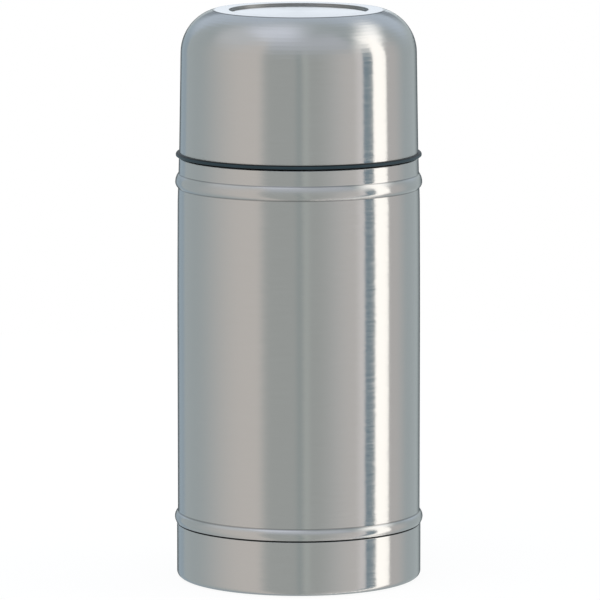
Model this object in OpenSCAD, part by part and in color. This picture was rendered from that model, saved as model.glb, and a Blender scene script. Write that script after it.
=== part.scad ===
// Insulated food jar: a double-walled vacuum vessel in brushed steel, a screw-in
// stopper with a press-to-vent button, and a domed cup that screws over the neck.
// Millimetres. +Z is up, and the origin is the middle of the face it stands on.
// Screw threads are left plain: each pair of threads has its own radial gap.

/* [Body] */
// Outer diameter of the straight body
body_d = 100; // [96:1:116]
// Height from the table to the shoulder under the cup
body_h = 174.5; // [150:0.1:210]
// Thickness of the steel sheet of shell, base and cup
sheet_t = 0.6; // [0.4:0.1:0.8]
// Height of each rolled bead
bead_h = 5; // [4:0.1:7]
// How far a rolled bead stands out from its wall
bead_out = 1.25; // [0.8:0.05:1.8]
// From the shoulder down to the middle of the upper bead
bead_drop = 10.1; // [8:0.1:14]
// From the shoulder down to where the body starts to narrow
taper_drop = 18.2; // [14:0.1:24]
// How much narrower it is at the shoulder, on the radius
collar_in = 0.55; // [0.3:0.05:1]

/* [Base] */
// Height of the pressed base cap
base_h = 22.7; // [18:0.1:30]
// Height of the open seam above the base cap
seam_h = 0.3; // [0.1:0.05:0.6]
// From the base cap's top edge up to the middle of the lower bead
lower_bead_rise = 2.4; // [2:0.1:4]
// How far the base cap stands out from the body
base_out = 0.4; // [0:0.05:0.6]
// Radius of the base cap's lower edge
base_edge_r = 3; // [2:0.1:4]
// Diameter of the recess inside the foot ring
foot_recess_d = 76; // [50:1:80]
// Depth of that recess
foot_recess = 1.5; // [0.8:0.1:2.5]
// Height of the welded bottom plate's rim above the table
bottom_z = 4.4; // [3.6:0.1:8]

/* [Inner vessel] */
// Wall of the inner vessel
vessel_t = 0.5; // [0.4:0.1:0.8]
// Vacuum gap between the two walls
vacuum_gap = 6.4; // [5.6:0.1:8]
// Height of the vessel's floor above the table
floor_z = 14.5; // [13.5:0.1:24]
// Radius inside the vessel's lower corner
vessel_edge_r = 13; // [6:0.5:20]

/* [Mouth] */
// Height of the rim above the shoulder
neck_h = 14.2; // [12:0.1:20]
// Vacuum gap inside the neck
neck_gap = 1.6; // [1:0.1:2]
// Thickness of the rolled rim
rim_t = 1.4; // [1:0.1:2]
// How far the rim overhangs the neck
rim_out = 0.4; // [0.2:0.1:0.6]
// From the rim down to the middle of the seal ledge
ledge_drop = 31; // [28:0.1:40]
// How far the seal ledge stands into the mouth
ledge_in = 2; // [1.5:0.1:2.2]
// Wall of the thread collar round the neck
collar_t = 1.8; // [1.5:0.1:2.2]

/* [Cup] */
// Height of the cup above the shoulder
cup_h = 60.5; // [56:0.1:80]
// How much narrower than the body the cup's mouth is, on the radius
cup_in = 0.7; // [0.6:0.1:1.6]
// How much the cup's wall narrows up to the dome, on the radius
cup_taper = 0.9; // [0:0.05:1.5]
// Radius of the dome's shoulder
dome_r = 17.5; // [16:0.5:24]
// Height of that shoulder, up to the flat top
dome_h = 17.1; // [15:0.1:20]
// Diameter of the recess in the cup's top
top_recess_d = 57.4; // [40:0.1:60]
// Depth of the recess in the cup's top
top_recess = 1.6; // [0.8:0.1:2.5]
// Height of the rounded lip of the cup's liner
lip_h = 1.8; // [1.6:0.1:3]
// How far the lip stands out from the cup's wall
lip_out = 1.3; // [0.6:0.05:1.6]
// Wall of the liner beside its thread
liner_t = 1.5; // [1.2:0.1:1.8]
// Room between the cup's thread and the collar's, on the radius
cup_thread_gap = 1.4; // [1.2:0.1:1.8]
// From the flat top down to the liner's top
liner_drop = 7.2; // [6:0.1:9]
// Radius inside the liner's upper corner
liner_edge_r = 15; // [10:0.5:16]
// Thickness of the cup's loose gasket
cup_gasket_t = 1.4; // [1:0.1:2]

/* [Stopper] */
// Room between the plug's thread and the mouth's, on the radius
plug_thread_gap = 1.2; // [1:0.1:1.6]
// Wall of the plug
plug_t = 1.8; // [1.4:0.1:2.4]
// Thickness of the flange over the rim
flange_t = 2; // [1.5:0.1:3]
// Thickness of the gasket under the flange
gasket_t = 1.2; // [0.8:0.1:2]
// Height of the seal ring round the plug
seal_h = 3.6; // [3:0.1:4.6]
// Height of the grip above the flange
grip_h = 13.8; // [12:0.1:16]
// Wall of the grip
grip_t = 1.8; // [1.4:0.1:2.4]
// Number of flutes round the grip
flutes = 36; // [24:1:44]
// Radius of one flute
flute_r = 1.5; // [1:0.1:1.8]
// Depth of one flute
flute_depth = 0.7; // [0.4:0.1:0.9]

/* [Vent] */
// Diameter of the vent button
button_d = 22.4; // [20:0.1:26]
// How far the button stands above the grip
button_proud = 0.8; // [0.3:0.1:2]
// How far the button travels down
vent_travel = 3; // [2:0.1:4]
// Diameter of the stem
stem_d = 5; // [4:0.1:6]
// Diameter of the valve foot under the plug
foot_d = 15.2; // [13:0.1:18]
// Thickness of the silicone disc on that foot
disc_t = 1.5; // [1:0.1:2]
// Diameter of the spring's wire
wire_d = 0.9; // [0.6:0.1:1.1]
// Mean diameter of the spring
spring_d = 12.8; // [12:0.1:13.2]
// Number of turns of the spring
spring_turns = 6; // [4:0.5:8]

/* [Hidden] */
$fn = 96;
fit = 0.05;      // clearance of a pressed, welded or snapped seat
slip = 0.2;      // clearance between pieces that move apart
over = 1;        // how far a cutting shape runs past what it cuts

// Colours of the materials
steel = [0.72, 0.73, 0.73];
inner_steel = [0.66, 0.67, 0.68];
spring_steel = [0.75, 0.76, 0.77];
black_plastic = [0.12, 0.13, 0.14];
grey_plastic = [0.4, 0.42, 0.43];
silicone = [0.62, 0.63, 0.62];
foam = [0.9, 0.88, 0.8];
solder = [0.45, 0.43, 0.4];
getter_metal = [0.3, 0.3, 0.32];

// Radii, from the outside in
body_r = body_d / 2;
collar_r = body_r - collar_in;
base_r = body_r + base_out;
tail_r = base_r - sheet_t - fit;
cup_r = body_r - cup_in;
liner_r = cup_r - sheet_t - fit - liner_t;
collar_ring_r = liner_r - cup_thread_gap;
neck_r = collar_ring_r - collar_t - fit;
mouth_r = neck_r - sheet_t - neck_gap - vessel_t;
vessel_r = body_r - sheet_t - vacuum_gap - vessel_t;
plug_r = mouth_r - plug_thread_gap;

// A bead is an arc of this radius, bulging by bead_out over bead_h
bead_r = (pow(bead_h / 2, 2) + pow(bead_out, 2)) / (2 * bead_out);
upper_bead_z = body_h - bead_drop;
upper_bead_x = body_r - collar_in / 2 + bead_out - bead_r;
lower_bead_z = base_h + lower_bead_rise;
lower_bead_x = body_r + bead_out - bead_r;
shoulder_edge_r = 0.8;

// The rim and the seal ledge, an arc rolled into the wall
rim_z = body_h + neck_h;
neck_top_z = rim_z - rim_t - fit;
ledge_z = rim_z - ledge_drop;
ledge_arc_r = 4;
ledge_x = mouth_r - ledge_in + ledge_arc_r;
rim_edge_r = 0.6;

// Bottom plate, its dimple and what lies in it
plate_rim_h = 3;
plate_rise = 2.6;
dimple_r = 7;
dimple_h = 1.2;
dimple_edge_r = 0.6;
dimple_margin = 4;
pump_hole_r = 1;
solder_r = 3;
solder_h = 2;
getter_r = 4;
getter_h = 2.2;
getter_x = 20;

// Cup, from its lip up
cup_z = body_h + slip / 2;
cup_wall_z = cup_z + lip_h;
cup_top_z = body_h + cup_h;
dome_z = cup_top_z - dome_h;
gasket_seat_z = neck_top_z + fit + cup_gasket_t;
liner_step = 1.8;
liner_step_h = 2;
liner_top_t = 1.5;
liner_up_r = liner_r - liner_step;
liner_top_z = cup_top_z - liner_drop;
pad_r = 33;

// Stopper, from the rim up and down
flange_z = rim_z + gasket_t + slip;
flange_r = neck_r - slip;
grip_z = flange_z + flange_t + fit;
grip_in = 1.3;
grip_r = flange_r - grip_in;
grip_edge_r = 2.5;
grip_top_t = 2;
grip_top_z = grip_z + grip_h;
spigot_h = 4;
spigot_t = 1.6;
seal_z = ledge_z + sqrt(pow(ledge_arc_r, 2) - pow(ledge_arc_r - ledge_in + slip, 2)) + slip;
seal_r = mouth_r - slip;
seal_core_t = 1.6;
seal_fin_h = 1;
groove_depth = 2.4;
groove_r = plug_r - groove_depth;
seal_shelf = 1.2;
foam_gap = 0.5;
plug_foot_t = 1.4;
plug_z = seal_z - slip - plug_foot_t;

// Vent, from the button down to its foot
button_r = button_d / 2;
button_t = 2;
button_edge_r = 0.8;
button_skirt_t = 1.3;
button_top_z = grip_top_z + button_proud;
button_under_z = button_top_z - button_t;
guide_t = 1.6;
guide_h = 9;
guide_r = button_r + slip;
stem_r = stem_d / 2;
stem_top_drop = 2;
stem_top_z = button_under_z - stem_top_drop;
tube_gap = 0.7;
tube_r = stem_r + tube_gap;
tube_t = 1.6;
well_gap = 1.1;
well_r = spring_d / 2 + wire_d / 2 + well_gap;
well_t = 1.4;
well_drop = 6;
well_floor_z = grip_z - well_drop;
well_floor_t = 2;
well_top_drop = 7.6;
well_top_z = button_under_z - well_top_drop;
skirt_rise = 2.5;
skirt_low_z = well_top_z + skirt_rise;
boss_t = 1.7;
boss_r = stem_r + boss_t;
boss_gap = 1;
boss_low_z = well_floor_z + vent_travel + boss_gap;
disc_in = 0.4;
disc_z = plug_z - fit - disc_t;
foot_t = 1.5;
foot_z = disc_z - fit - foot_t;
wire_sides = 8;
turn_steps = 20;

// ---- half-sections: x is the radius, y is the height ----

// A plain block of section, from radius r0 to r1 and from height z0 to z1
module block(r0, r1, z0, z1) {
    translate([r0, z0]) square([r1 - r0, z1 - z0]);
}

// A block from the axis whose outer corner at height z1 is rounded
module block_round_top(r, z0, z1, edge) {
    block(0, r, z0, z1 - edge);
    block(0, r - edge, z0, z1);
    translate([r - edge, z1 - edge]) circle(edge);
}

// A block from the axis whose outer corner at height z0 is rounded
module block_round_foot(r, z0, z1, edge) {
    block(0, r, z0 + edge, z1);
    block(0, r - edge, z0, z1);
    translate([r - edge, z0 + edge]) circle(edge);
}

// A block from the axis whose radius changes from r0 at z0 to r1 at z1
module cone_block(r0, r1, z0, z1) {
    polygon([[0, z0], [r0, z0], [r1, z1], [0, z1]]);
}

// Keeps only the part of a section that lies beside the axis
module spin() {
    rotate_extrude() intersection() {
        children();
        block(0, 2 * body_r, -body_h, 3 * body_h);
    }
}

// ---- jar body ----

// Outline of the outer shell, moved in by inset. Both beads keep their centres, and
// the lower one is cut off level over the seam.
module shell_outline(inset, z0, z1) {
    edge_z = body_h - inset - shoulder_edge_r;
    edge_x = collar_r - inset - shoulder_edge_r;
    polygon([
        [0, z0], [tail_r - inset, z0],
        [tail_r - inset, lower_bead_z], [body_r - inset, lower_bead_z],
        [body_r - inset, body_h - taper_drop], [collar_r - inset, edge_z],
        [edge_x, edge_z], [edge_x, body_h - inset],
        [neck_r - inset, body_h - inset], [neck_r - inset, z1], [0, z1]
    ]);
    translate([edge_x, edge_z]) circle(shoulder_edge_r);
    translate([upper_bead_x, upper_bead_z]) circle(bead_r - inset);
    intersection() {
        translate([lower_bead_x, lower_bead_z]) circle(bead_r - inset);
        block(0, 2 * body_r, base_h + seam_h + inset, body_h);
    }
}

// Drawn steel outer wall with two rolled beads, a shoulder and a neck
module outer_shell() {
    color(steel) spin() difference() {
        shell_outline(0, bottom_z, neck_top_z);
        shell_outline(sheet_t, bottom_z - over, neck_top_z + over);
    }
}

// Outline of the base cap, moved in by inset, with its foot ring and recess
module base_outline(inset, z1) {
    difference() {
        block_round_foot(base_r - inset, inset, z1, base_edge_r - inset);
        cone_block(foot_recess_d / 2 + inset, foot_recess_d / 2 - foot_recess + inset,
                   inset - over, inset);
        cone_block(foot_recess_d / 2 + inset, foot_recess_d / 2 - foot_recess + inset,
                   inset, inset + foot_recess);
    }
}

// Pressed steel cap that slides over the shell's tail and hides the pump-out seal
module base_cap() {
    color(steel) spin() difference() {
        base_outline(0, base_h);
        base_outline(sheet_t, base_h + over);
    }
}

// Inside outline of the vessel, moved out by grow
module vessel_outline(grow, z1) {
    difference() {
        union() {
            block_round_foot(vessel_r + grow, floor_z - grow, ledge_z, vessel_edge_r + grow);
            block(0, mouth_r + grow, ledge_z, z1);
        }
        translate([ledge_x, ledge_z]) circle(ledge_arc_r - grow);
    }
}

// Deep-drawn inner wall with the rolled seal ledge, and the rim that joins it to the neck
module inner_vessel() {
    color(inner_steel) spin() difference() {
        union() {
            vessel_outline(vessel_t, rim_z - rim_edge_r);
            block_round_top(neck_r + rim_out, rim_z - rim_t, rim_z, rim_edge_r);
        }
        vessel_outline(0, rim_z + over);
    }
}

// Outline of the bottom plate's upper face, lowered by drop
module plate_outline(r, drop) {
    plate_z = bottom_z + plate_rim_h;
    cone_block(r, dimple_r + dimple_margin, plate_z - drop, plate_z + plate_rise - drop);
    block(0, r, bottom_z - over, plate_z - drop);
}

// Plate that closes the vacuum space: a rim welded in the tail, a cone and a dimple
module bottom_plate() {
    plate_r = tail_r - sheet_t - fit;
    dimple_z = bottom_z + plate_rim_h + plate_rise;
    color(inner_steel) spin() difference() {
        intersection() {
            union() {
                plate_outline(plate_r, 0);
                block_round_top(dimple_r, bottom_z, dimple_z + dimple_h, dimple_edge_r);
            }
            block(0, plate_r, bottom_z, dimple_z + dimple_h);
        }
        plate_outline(plate_r - sheet_t, sheet_t);
        block(0, dimple_r - sheet_t, bottom_z, dimple_z + dimple_h - sheet_t);
        block(0, pump_hole_r, bottom_z, dimple_z + dimple_h + over);
    }
}

// Bead of solder that closes the pump-out hole, under the dimple's roof
module pump_out_seal() {
    roof_z = bottom_z + plate_rim_h + plate_rise + dimple_h - sheet_t;
    color(solder) spin() union() {
        intersection() {
            translate([0, roof_z - fit]) circle(solder_r);
            block(0, solder_r, roof_z - solder_h, roof_z - fit);
        }
        block(0, pump_hole_r - fit, roof_z - solder_h / 2, roof_z + sheet_t);
    }
}

// Getter pill under the vessel's floor: it soaks up the last gas in the vacuum
module getter() {
    color(getter_metal)
        translate([getter_x, 0, floor_z - vessel_t - fit - getter_h])
            cylinder(r = getter_r, h = getter_h);
}

// Plastic ring round the neck that carries the cup's thread, held down by the rim
module thread_collar() {
    bevel = 0.4;
    color(black_plastic) spin() difference() {
        union() {
            block(0, collar_ring_r, body_h + fit, neck_top_z - fit - bevel);
            cone_block(collar_ring_r, collar_ring_r - bevel,
                       neck_top_z - fit - bevel, neck_top_z - fit);
        }
        block(0, neck_r + fit, body_h, neck_top_z + over);
    }
}

// ---- stopper ----

// Flat silicone ring that lies on the rim, loose between the flange and the thread
module rim_gasket() {
    color(silicone) spin()
        block(plug_r + slip, flange_r - slip, rim_z + fit, rim_z + fit + gasket_t);
}

// Silicone ring in the plug's groove: a core and two fins that wipe the neck
module plug_seal() {
    core_r = groove_r + slip;
    color(silicone) spin() {
        block(core_r, core_r + seal_core_t, seal_z, seal_z + seal_h);
        block(core_r, seal_r, seal_z, seal_z + seal_fin_h);
        block(core_r, seal_r, seal_z + seal_h - seal_fin_h, seal_z + seal_h);
    }
}

// Half-section of the tube and spring well that stand in the middle of the plug
module vent_tower() {
    block(tube_r, tube_r + tube_t, plug_z, well_floor_z);
    block(tube_r, well_r + well_t, well_floor_z - well_floor_t, well_floor_z);
    block(well_r, well_r + well_t, well_floor_z - well_floor_t, well_top_z);
}

// Hollow threaded plug with its seal groove, flange, spigot and vent tower
module stopper_body() {
    groove_top_z = seal_z + seal_h + slip;
    plug_inner_r = groove_r - plug_t;
    spigot_r = grip_r - grip_t - fit;
    color(black_plastic) spin() {
        block(tube_r, groove_r + seal_shelf, plug_z, seal_z - slip);
        block(tube_r, plug_inner_r + over, plug_z, plug_z + plug_t);
        block(plug_inner_r, groove_r, plug_z, groove_top_z);
        block(plug_inner_r, plug_r, groove_top_z, groove_top_z + plug_t);
        block(plug_r - plug_t, plug_r, groove_top_z, flange_z);
        block(plug_r - plug_t, flange_r, flange_z, flange_z + flange_t);
        block(spigot_r - spigot_t, spigot_r, flange_z, flange_z + flange_t + spigot_h);
        vent_tower();
    }
}

// Fluted grip cap over the plug, with the guide that the vent button runs in
module stopper_grip() {
    color(black_plastic) difference() {
        spin() difference() {
            union() {
                difference() {
                    block_round_top(grip_r, grip_z, grip_top_z, grip_edge_r);
                    block_round_top(grip_r - grip_t, grip_z - over, grip_top_z - grip_top_t,
                                    grip_edge_r - grip_top_t / 2);
                }
                block(0, guide_r + guide_t, grip_top_z - guide_h, grip_top_z - grip_top_t / 2);
            }
            block(0, guide_r, grip_z - over, grip_top_z + over);
        }
        for (i = [0:flutes - 1])
            rotate(i * 360 / flutes)
                translate([grip_r + flute_r - flute_depth, 0, grip_z - over])
                    cylinder(r = flute_r, h = grip_h + 2 * over);
    }
}

// Foam ring that insulates the hollow plug
module stopper_foam() {
    inner_r = guide_r + guide_t + foam_gap;
    outer_r = groove_r - plug_t - slip;
    color(foam) spin()
        block(inner_r, outer_r, plug_z + plug_t + fit, flange_z);
}

// Button cap with a guiding skirt and a hollow boss that takes the stem
module vent_button() {
    color(grey_plastic) spin() difference() {
        union() {
            difference() {
                block_round_top(button_r, skirt_low_z, button_top_z, button_edge_r);
                block(0, button_r - button_skirt_t, skirt_low_z - over, button_under_z);
            }
            block(0, boss_r, boss_low_z, button_under_z);
        }
        block(0, stem_r + fit, boss_low_z - over, stem_top_z + fit);
    }
}

// Stem with the foot that carries the valve disc
module vent_stem() {
    color(grey_plastic) spin() {
        block(0, stem_r, foot_z, stem_top_z);
        block(0, foot_d / 2, foot_z, foot_z + foot_t);
    }
}

// Silicone valve disc that closes the tube from below
module vent_disc() {
    color(silicone) spin()
        block(stem_r + fit, foot_d / 2 - disc_in, disc_z, disc_z + disc_t);
}

// Points of the spring's centreline, and one ring of its wire round each of them
function spring_point(t) = let (low = well_floor_z + wire_d / 2 + fit,
                                high = button_under_z - wire_d / 2 - slip)
    [spring_d / 2 * cos(360 * spring_turns * t), spring_d / 2 * sin(360 * spring_turns * t),
     low + (high - low) * t];
function wire_ring(t) = let (p = spring_point(t), a = 360 * spring_turns * t)
    [for (s = [0:wire_sides - 1]) let (b = 360 * s / wire_sides)
        p + wire_d / 2 * [cos(b) * cos(a), cos(b) * sin(a), sin(b)]];

// Coil spring that lifts the button
module vent_spring() {
    last = round(turn_steps * spring_turns);
    points = [for (k = [0:last]) each wire_ring(k / last)];
    walls = [for (k = [0:last - 1], s = [0:wire_sides - 1])
        let (a = k * wire_sides, b = a + wire_sides, n = (s + 1) % wire_sides)
        each [[a + s, b + n, a + n], [a + s, b + s, b + n]]];
    ends = [[for (s = [0:wire_sides - 1]) s],
            [for (s = [wire_sides - 1:-1:0]) last * wire_sides + s]];
    color(spring_steel) polyhedron(points, concat(walls, ends), convexity = 10);
}

// ---- cup ----

// Outline of the cup, moved in by inset, from z0 up to its flat top
module cup_outline(inset, z0) {
    dome_wall_r = cup_r - cup_taper;
    cone_block(cup_r - inset, dome_wall_r - inset, z0, dome_z);
    intersection() {
        union() {
            block(0, dome_wall_r - dome_r, dome_z, cup_top_z);
            translate([dome_wall_r - dome_r, dome_z]) circle(dome_r - inset);
        }
        block(0, body_r, dome_z - over, cup_top_z - inset);
    }
}

// Domed steel cup with a flat foot ring and a recess on its top
module cup_shell() {
    color(steel) spin() difference() {
        union() {
            difference() {
                cup_outline(0, cup_wall_z + fit);
                cup_outline(sheet_t, cup_wall_z + fit);
                block(0, cup_r - sheet_t, cup_wall_z, cup_wall_z + over);
            }
            block(0, top_recess_d / 2 + sheet_t, cup_top_z - top_recess - sheet_t, cup_top_z);
        }
        block(0, top_recess_d / 2, cup_top_z - top_recess, cup_top_z + over);
    }
}

// Cavity of the liner: a wide part round the collar, then a step and the bowl
module liner_cavity() {
    block(0, liner_r, cup_z - over, gasket_seat_z + slip);
    block_round_top(liner_up_r, gasket_seat_z, liner_top_z - liner_top_t, liner_edge_r);
}

// Plastic liner with the rounded lip, the room for the thread and the bowl
module cup_liner() {
    wall_top_z = gasket_seat_z + slip + liner_step_h;
    lip_r = lip_h / 2;
    color(black_plastic) spin() difference() {
        union() {
            intersection() {
                cup_outline(sheet_t + fit, cup_z);
                block(0, cup_r, cup_z + lip_r, wall_top_z);
            }
            block_round_top(liner_up_r + liner_top_t, wall_top_z - over, liner_top_z,
                            liner_edge_r + liner_top_t);
            block(0, cup_r + lip_out - lip_r, cup_z, cup_wall_z);
            translate([cup_r + lip_out - lip_r, cup_z + lip_r]) circle(lip_r);
        }
        liner_cavity();
    }
}

// Loose silicone ring on the collar's top edge, kept in the cup by its thread
module cup_gasket() {
    color(silicone) spin()
        block(neck_r + rim_out + slip, liner_r - slip, neck_top_z + fit,
              neck_top_z + fit + cup_gasket_t);
}

// Foam pad trapped between the liner's top and the recess of the cup
module cup_foam() {
    color(foam) spin()
        block(0, pad_r, liner_top_z + slip, cup_top_z - top_recess - sheet_t - slip);
}

base_cap();
outer_shell();
inner_vessel();
bottom_plate();
pump_out_seal();
getter();
thread_collar();
rim_gasket();
plug_seal();
stopper_body();
stopper_grip();
stopper_foam();
vent_button();
vent_stem();
vent_disc();
vent_spring();
cup_gasket();
cup_foam();
cup_shell();
cup_liner();
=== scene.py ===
import math

import bpy
import numpy as np
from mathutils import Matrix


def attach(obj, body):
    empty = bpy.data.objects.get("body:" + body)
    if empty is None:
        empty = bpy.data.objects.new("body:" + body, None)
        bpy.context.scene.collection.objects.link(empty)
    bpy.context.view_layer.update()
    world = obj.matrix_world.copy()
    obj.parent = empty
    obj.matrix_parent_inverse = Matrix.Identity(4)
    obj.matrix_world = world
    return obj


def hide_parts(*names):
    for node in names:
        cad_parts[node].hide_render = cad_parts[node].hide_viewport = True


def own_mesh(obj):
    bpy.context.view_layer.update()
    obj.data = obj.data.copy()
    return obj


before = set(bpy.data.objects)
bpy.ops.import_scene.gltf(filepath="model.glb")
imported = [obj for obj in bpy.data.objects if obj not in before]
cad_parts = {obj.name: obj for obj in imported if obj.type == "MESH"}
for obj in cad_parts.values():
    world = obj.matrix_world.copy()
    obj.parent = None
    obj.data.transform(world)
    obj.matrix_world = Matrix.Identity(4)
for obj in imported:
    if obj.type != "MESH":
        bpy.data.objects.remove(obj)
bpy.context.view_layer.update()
mm = 0.001

# camera

camera = {
    "distance": 2.5786,        # metres from the point it looks at
    "elevation": 8.02,         # degrees above the table
    "target": (0.00052, 0, 0.11487),
    "focalPixels": 6257.7,     # focal length in pixels of the 600 pixel frame
    "framePixels": 600,
    "sensor": 36,
}


def addCamera(c):
    data = bpy.data.cameras.new("camera")
    data.sensor_fit = "HORIZONTAL"
    data.sensor_width = c["sensor"]
    data.lens = c["focalPixels"] * c["sensor"] / c["framePixels"]
    data.clip_end = 20
    obj = bpy.data.objects.new("camera", data)
    tilt = math.radians(c["elevation"])
    x, y, z = c["target"]
    obj.location = (x, y - c["distance"] * math.cos(tilt), z + c["distance"] * math.sin(tilt))
    obj.rotation_euler = (math.pi / 2 - tilt, 0, 0)
    bpy.context.collection.objects.link(obj)
    bpy.context.scene.camera = obj


addCamera(camera)
bpy.context.scene.view_settings.view_transform = "Standard"
print("camera ready")

# surfaces


# A grid of points becomes a mesh. Columns always close on themselves. Rows close too, or
# they end in a pole: then the first and last row shrink to one vertex with a fan round it.
# The faces are turned so that the signed volume of the solid is positive.
def gridMesh(name, points, poles, hardRows=None):
    rows, cols = points.shape[:2]
    here = np.arange(rows * cols).reshape(rows, cols)
    if poles:
        body = here[1:-1] - cols + 1
        last = (rows - 2) * cols + 1
        co = np.concatenate([points[0, :1], points[1:-1].reshape(-1, 3), points[-1, :1]])
        ring = body[0], body[-1]
        beside = np.roll(body, -1, 1)
        quads = np.stack([body[:-1], beside[:-1], beside[1:], body[1:]], -1)
        fans = np.concatenate([
            np.stack([np.zeros(cols, int), np.roll(ring[0], -1), ring[0]], -1),
            np.stack([np.full(cols, last), ring[1], np.roll(ring[1], -1)], -1),
        ])
    else:
        co = points.reshape(-1, 3)
        up = np.roll(here, -1, 0)
        quads = np.stack([here, np.roll(here, -1, 1), np.roll(up, -1, 1), up], -1)
        fans = np.zeros((0, 3), int)
    quads = quads.reshape(-1, 4)
    a, b, c, d = (co[quads[:, k]] for k in range(4))
    volume = (np.cross(a, b) * c).sum() + (np.cross(a, c) * d).sum()
    e, f, g = (co[fans[:, k]] for k in range(3))
    volume += (np.cross(e, f) * g).sum()
    if volume < 0:
        quads, fans = quads[:, ::-1], fans[:, ::-1]
    mesh = bpy.data.meshes.new(name)
    mesh.vertices.add(len(co))
    mesh.vertices.foreach_set("co", co.ravel())
    mesh.loops.add(quads.size + fans.size)
    mesh.loops.foreach_set("vertex_index", np.concatenate([quads.ravel(), fans.ravel()]))
    mesh.polygons.add(len(quads) + len(fans))
    starts = np.concatenate([
        np.arange(len(quads)) * 4, quads.size + np.arange(len(fans)) * 3])
    mesh.polygons.foreach_set("loop_start", starts)
    mesh.polygons.foreach_set("use_smooth", np.ones(len(starts), bool))
    mesh.update(calc_edges=True)
    if hardRows is not None and hardRows.any():
        ends = np.empty(len(mesh.edges) * 2, int)
        mesh.edges.foreach_get("vertices", ends)
        row = (ends.reshape(-1, 2) + (cols - 1 if poles else 0)) // cols
        crease = (row[:, 0] == row[:, 1]) & hardRows[row[:, 0]]
        sharp = mesh.attributes.new("sharp_edge", "BOOLEAN", "EDGE")
        sharp.data.foreach_set("value", crease)
    mesh.validate()
    return mesh


arcs = {
    "wideFrom": 2,        # fillets over this many mm get the finer step
    "wideStep": 6,        # degrees from point to point
    "tightStep": 15,
    "fewestSteps": 3,
}


# Corners (radius, height, fillet) become a profile: straight runs, and in each corner an arc
# that touches both runs. A corner with no fillet stays hard.
def roundedPath(corners, closed):
    points, hard = [], []
    count = len(corners)
    for i, (x, y, fillet) in enumerate(corners):
        p = np.array([x, y], float)
        loose = not closed and i in (0, count - 1)
        if loose or fillet <= 0:
            points.append(p[None])
            hard.append([not loose])
            continue
        a = np.array(corners[i - 1][:2]) - p
        b = np.array(corners[(i + 1) % count][:2]) - p
        a, b = a / np.linalg.norm(a), b / np.linalg.norm(b)
        half = math.acos(np.clip(a @ b, -1, 1)) / 2
        centre = p + (a + b) / np.linalg.norm(a + b) * fillet / math.sin(half)
        reach = fillet / math.tan(half)
        first, last = p + a * reach - centre, p + b * reach - centre
        angle = math.atan2(first[1], first[0])
        sweep = (math.atan2(last[1], last[0]) - angle + math.pi) % (2 * math.pi) - math.pi
        step = arcs["wideStep"] if fillet > arcs["wideFrom"] else arcs["tightStep"]
        steps = max(arcs["fewestSteps"], math.ceil(abs(sweep) / math.radians(step)))
        t = angle + sweep * np.linspace(0, 1, steps + 1)
        points.append(centre + fillet * np.stack([np.cos(t), np.sin(t)], -1))
        hard.append([False] * (steps + 1))
    return np.concatenate(points), np.concatenate(hard)


# Long straight runs get a point near each end, so that smooth shading stays in the corners.
# guard is the distance in mm, and a run where it is over mostShare of the length gets none.
def guarded(path, hard, closed, guard=0.25, mostShare=0.3):
    end = np.roll(path, -1, 0)
    length = np.linalg.norm(end - path, axis=1)
    if not closed:
        length[-1] = 0
    share = guard / np.maximum(length, 1e-6)
    t = np.stack([np.zeros_like(share), share, 1 - share], -1)
    long = share < mostShare
    keep = np.stack([np.ones(len(path), bool), long, long], -1)
    every = path[:, None] + (end - path)[:, None] * t[..., None]
    plain = np.zeros_like(hard)
    flags = np.stack([hard, plain, plain], -1)
    return every[keep], flags[keep]


# The profile is turned round Z: x = r cos a, y = r sin a. A path that starts and ends on the
# axis closes in two poles. With a cut, the radius is the soft minimum of r and cut(a).
def lathe(name, path, hard, segments=256, cut=None):
    poles = path[0, 0] < 1e-6 and path[-1, 0] < 1e-6
    path, hard = guarded(path, hard, not poles)
    r, z = path[:, :1], path[:, 1:]
    a = np.arange(segments)[None] * 2 * math.pi / segments
    if cut is not None:
        soft = cut["softness"]
        r = -soft * np.logaddexp(-r / soft, -cutRadius(a, cut) / soft)
    points = np.stack([r * np.cos(a), r * np.sin(a), z + 0 * a], -1) * mm
    return gridMesh(name, points, poles, hard)


# The wall of one groove: the near side of a circle that stands just outside the grip.
# Between grooves the wall is put well outside the grip, where it cuts nothing.
def cutRadius(a, cut):
    pitch = 2 * math.pi / cut["count"]
    away = (a + pitch / 2) % pitch - pitch / 2
    centre = cut["radius"] + cut["grooveRadius"] - cut["depth"]
    reach = cut["grooveRadius"] ** 2 - (centre * np.sin(away)) ** 2
    near = centre * np.cos(away) - np.sqrt(np.maximum(reach, 0))
    return np.where(reach > 0, near, cut["radius"] + cut["clear"])


# A sheet of thickness t along an open path: each point is moved inwards along its mitre, by
# t over the cosine of half the bend, and by no more than t over leastCosine.
def sheetPath(path, hard, t, leastCosine=0.5):
    step = np.diff(path, axis=0)
    step /= np.linalg.norm(step, axis=1)[:, None]
    before = np.concatenate([step[:1], step])
    after = np.concatenate([step, step[-1:]])
    mean = before + after
    mean /= np.linalg.norm(mean, axis=1)[:, None]
    stretch = 1 / np.maximum((mean * after).sum(1), leastCosine)
    inner = path - np.stack([mean[:, 1], -mean[:, 0]], -1) * (t * stretch)[:, None]
    inner[:, 0] = np.maximum(inner[:, 0], 0)
    ends = hard.copy()
    ends[0] = path[0, 0] > 1e-6
    ends[-1] = path[-1, 0] > 1e-6
    return inner, ends


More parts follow.
